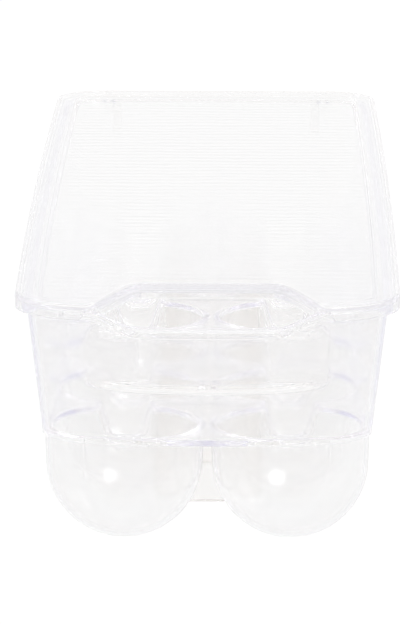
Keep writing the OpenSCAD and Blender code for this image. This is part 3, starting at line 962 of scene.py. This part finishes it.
class KEEPER_OT_stage(bpy.types.Operator):
    """White floor, soft studio light and the camera"""

    bl_idname = "keeper.stage"
    bl_label = "Stage"

    def execute(self, context):
        scene, look = context.scene, context.scene.keeper_look
        self.floor(scene, look)
        self.world(scene, look)
        self.lamp(scene)
        self.camera(scene)
        scene.view_settings.view_transform = "Standard"
        # Light led along a wall is reflected hundreds of times before it leaves
        scene.cycles.max_bounces = CLEAR_WALLS
        scene.cycles.transmission_bounces = CLEAR_WALLS
        scene.cycles.glossy_bounces = CLEAR_WALLS
        # The filter would widen each later bounce in the satin walls, and darken them
        scene.cycles.blur_glossy = 0.0
        return {"FINISHED"}

    def floor(self, scene, look):
        """A wide white floor that the camera sees as pure white, with the object's shadow kept."""
        material, tree, output = new_material("matt_white_paper")
        path = add_node(tree, "ShaderNodeLightPath")
        seen = add_node(
            tree, "ShaderNodeMath", {"operation": "MAXIMUM"},
            {0: path.outputs["Is Camera Ray"], 1: path.outputs["Is Transmission Ray"]},
        )
        seen_too = add_node(
            tree, "ShaderNodeMath", {"operation": "MAXIMUM"},
            {0: seen.outputs[0], 1: path.outputs["Is Glossy Ray"]},
        )
        share = add_node(
            tree, "ShaderNodeMath", {"operation": "MULTIPLY", 1: WHITE_SHARE}, {0: seen_too.outputs[0]}
        )
        level = add_node(
            tree, "ShaderNodeMapRange", {"To Min": WHITE_LEVEL * SEEN_THROUGH, "To Max": WHITE_LEVEL},
            {"Value": path.outputs["Is Camera Ray"]},
        )
        glow = add_node(
            tree, "ShaderNodeEmission", {"Color": (1, 1, 1, 1)}, {"Strength": level.outputs["Result"]}
        )
        paper = add_node(tree, "ShaderNodeBsdfDiffuse", {"Color": (*look.floor, 1)})
        both = add_node(
            tree, "ShaderNodeMixShader", None,
            {0: share.outputs[0], 1: paper.outputs[0], 2: glow.outputs[0]},
        )
        tree.links.new(both.outputs[0], output.inputs["Surface"])
        half = 10.0
        corners = [(-half, -half, 0), (half, -half, 0), (half, half, 0), (-half, half, 0)]
        mesh = bpy.data.meshes.new("studio_floor")
        mesh.from_pydata(corners, [], [(0, 1, 2, 3)])
        mesh.materials.append(material)
        floor = bpy.data.objects.new("studio_floor", mesh)
        scene.collection.objects.link(floor)
        floor.location.z = -0.00005

    def world(self, scene, look):
        """Even white light, a little darker and warmer from the room on the camera's side."""
        world = bpy.data.worlds.new("white_studio")
        scene.world = world
        world.use_nodes = True
        tree = world.node_tree
        tree.nodes.clear()
        output = tree.nodes.new("ShaderNodeOutputWorld")
        place_node = add_node(tree, "ShaderNodeTexCoord")
        axes = add_node(tree, "ShaderNodeSeparateXYZ", None, {0: place_node.outputs["Generated"]})
        side = add_node(
            tree, "ShaderNodeMapRange",
            {"From Min": -0.5, "From Max": 0.3, "interpolation_type": "SMOOTHSTEP"},
            {"Value": axes.outputs["Y"]},
        )
        tint = add_node(
            tree, "ShaderNodeMix",
            {"data_type": "RGBA", "A": (*look.near_light, 1), "B": (*look.far_light, 1)},
            {"Factor": side.outputs["Result"]},
        )
        back = add_node(
            tree, "ShaderNodeMapRange",
            {"From Min": 0.6, "From Max": 0.95, "To Min": WORLD_LEVEL, "To Max": WORLD_LEVEL + BACK_LEVEL,
             "interpolation_type": "SMOOTHSTEP"},
            {"Value": axes.outputs["Y"]},
        )
        sky = add_node(tree, "ShaderNodeBackground", None, {"Strength": back.outputs["Result"]})
        tree.links.new(next(o for o in tint.outputs if o.type == "RGBA"), sky.inputs["Color"])
        tree.links.new(sky.outputs[0], output.inputs["Surface"])

    def lamp(self, scene):
        """A round soft lamp, to the right and above the camera, which puts a soft spot in each cup."""
        data = bpy.data.lights.new("front_softbox", "AREA")
        data.shape = "DISK"
        data.size = LAMP_WIDE
        data.energy = LAMP_LEVEL * math.pi * math.pi * LAMP_WIDE**2 / 4
        lamp = bpy.data.objects.new("front_softbox", data)
        scene.collection.objects.link(lamp)
        place_of_lamp = Vector(LAMP_PLACE)
        aim = Vector(LAMP_AIM) - place_of_lamp
        lamp.location = place_of_lamp * MM
        lamp.rotation_euler = aim.to_track_quat("-Z", "Y").to_euler()

    def camera(self, scene):
        """The photograph's viewpoint: far off, about 12 degrees above, with a long lens."""
        pitch, yaw, roll = (math.radians(a) for a in (CAMERA_PITCH, CAMERA_YAW, CAMERA_ROLL))
        ahead = Vector((
            -math.sin(yaw) * math.cos(pitch), math.cos(yaw) * math.cos(pitch), -math.sin(pitch)
        ))
        level = Vector((math.cos(yaw), math.sin(yaw), 0))
        above = level.cross(ahead)
        right = level * math.cos(roll) + above * math.sin(roll)
        up = above * math.cos(roll) - level * math.sin(roll)
        data = bpy.data.cameras.new("camera")
        data.lens = CAMERA_LENS
        camera = bpy.data.objects.new("camera", data)
        scene.collection.objects.link(camera)
        turn = Matrix((right, up, -ahead)).transposed().to_4x4()
        camera.matrix_world = Matrix.Translation(Vector(CAMERA_PLACE) * MM) @ turn
        scene.camera = camera


class KEEPER_PT_panel(bpy.types.Panel):
    """Buttons that build the egg keeper"""

    bl_label = "Egg Keeper"
    bl_space_type = "VIEW_3D"
    bl_region_type = "UI"
    bl_category = "Egg Keeper"

    def draw(self, context):
        for operator in OPERATORS:
            self.layout.operator(operator.bl_idname)
        for group in GROUPS:
            settings = getattr(context.scene, GROUPS[group])
            for key in group.__annotations__:
                self.layout.prop(settings, key)


GROUPS = {
    KeeperTray: "keeper_tray", KeeperRim: "keeper_rim", KeeperLid: "keeper_lid", KeeperLook: "keeper_look",
}
OPERATORS = (
    KEEPER_OT_stage, KEEPER_OT_tray_shell, KEEPER_OT_row_webs, KEEPER_OT_hinge_ears,
    KEEPER_OT_lid_shell, KEEPER_OT_lid_arms, KEEPER_OT_hinge_pins,
)


def register():
    for group, name in GROUPS.items():
        bpy.utils.register_class(group)
        setattr(bpy.types.Scene, name, bpy.props.PointerProperty(type=group))
    for cls in (*OPERATORS, KEEPER_PT_panel):
        bpy.utils.register_class(cls)


def unregister():
    for cls in (KEEPER_PT_panel, *reversed(OPERATORS)):
        bpy.utils.unregister_class(cls)
    for group, name in GROUPS.items():
        delattr(bpy.types.Scene, name)
        bpy.utils.unregister_class(group)


def main():
    """Builds the scene piece by piece."""
    register()
    bpy.ops.keeper.stage()
    bpy.ops.keeper.tray_shell()
    bpy.ops.keeper.row_webs()
    bpy.ops.keeper.hinge_ears()
    bpy.ops.keeper.lid_shell()
    bpy.ops.keeper.lid_arms()
    bpy.ops.keeper.hinge_pins()


if __name__ == "__main__":
    main()
